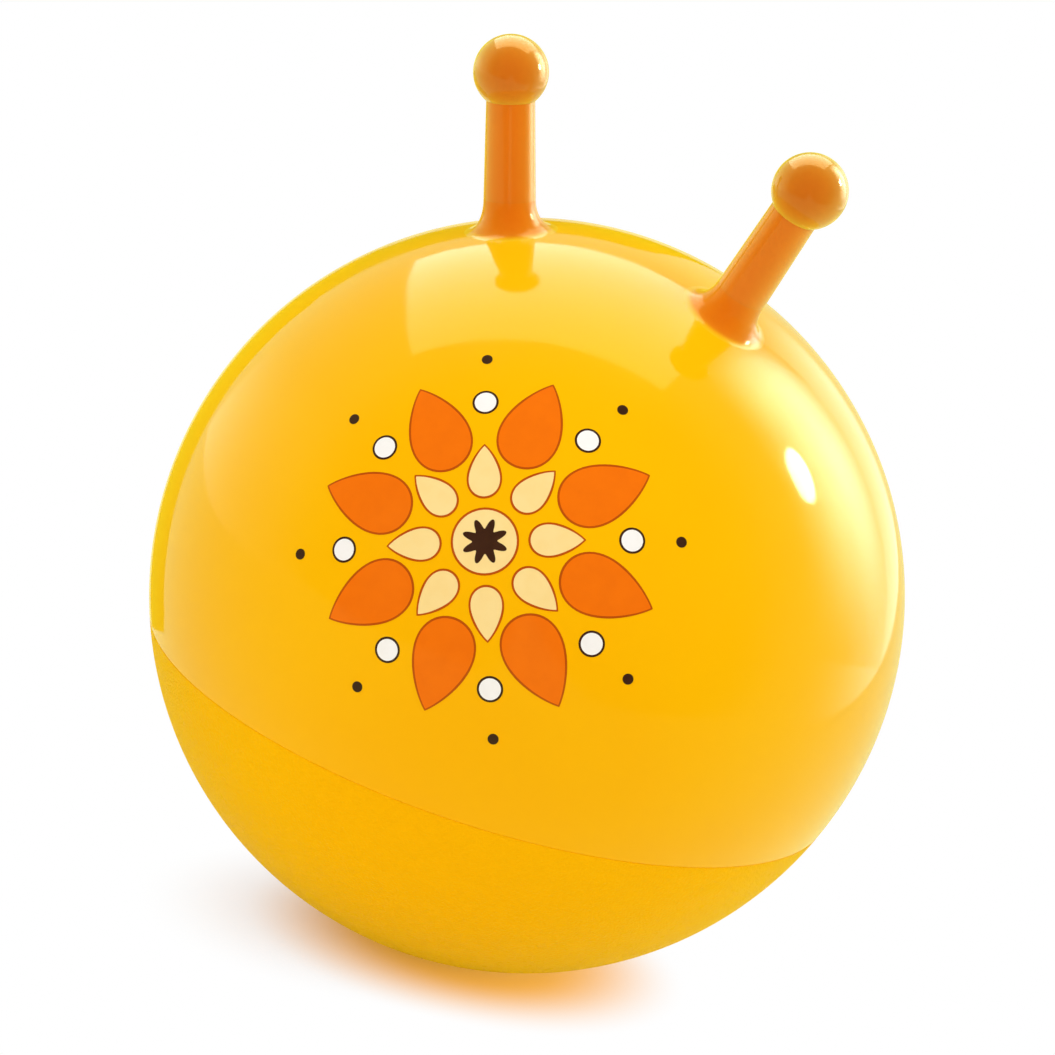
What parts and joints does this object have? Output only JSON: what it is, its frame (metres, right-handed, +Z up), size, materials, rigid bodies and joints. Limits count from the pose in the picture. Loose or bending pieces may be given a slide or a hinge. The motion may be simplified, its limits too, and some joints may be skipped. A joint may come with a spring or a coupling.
{
  "type": "hopper ball",
  "caption": "Inflated bouncing ball to sit on, with a parting seam, knobbed handles on flared roots at the top, and a plugged air valve at the back.",
  "frame": {"origin": "middle of the flat patch that the ball rests on, on the floor", "axes": "+Z up along the ball's axis between the handles, X across the handles with +X at the right one seen from the front, -Y to the front"},
  "size_m": [0.45, 0.45, 0.5442],
  "materials": {
    "skin_gloss": "amber yellow soft vinyl, high gloss",
    "skin_stipple": "amber yellow soft vinyl, fine moulded stipple",
    "handle_root": "yellow to orange soft vinyl, gloss",
    "handle": "orange soft vinyl, gloss",
    "valve_white": "off-white vinyl, satin"
  },
  "bodies": {
    "ball": {"upper_skin": "skin_gloss", "lower_skin": "skin_stipple", "right_handle_root": "handle_root", "left_handle_root": "handle_root", "valve_seat": "valve_white"},
    "right_handle": {"right_handle_stem": "handle", "right_handle_knob": "handle"},
    "left_handle": {"left_handle_stem": "handle", "left_handle_knob": "handle"},
    "plug": {"valve_plug": "valve_white"}
  },
  "joints": [
    {"name": "right_handle_flex", "type": "hinge", "parent": "ball", "child": "right_handle", "pos_m": [0.07311, -0.0309, 0.44276], "axis": [1, 0, 0], "range_deg": [-25, 25], "stiffness_Nm_per_rad": 3.4, "deforming": ["right_handle_root"]},
    {"name": "left_handle_flex", "type": "hinge", "parent": "ball", "child": "left_handle", "pos_m": [-0.07311, -0.0309, 0.44276], "axis": [1, 0, 0], "range_deg": [-25, 25], "stiffness_Nm_per_rad": 3.4, "deforming": ["left_handle_root"]},
    {"name": "plug_pull", "type": "slide", "parent": "ball", "child": "plug", "axis": [0, 0.9397, 0.342], "range_m": [0, 0.03]}
  ]
}
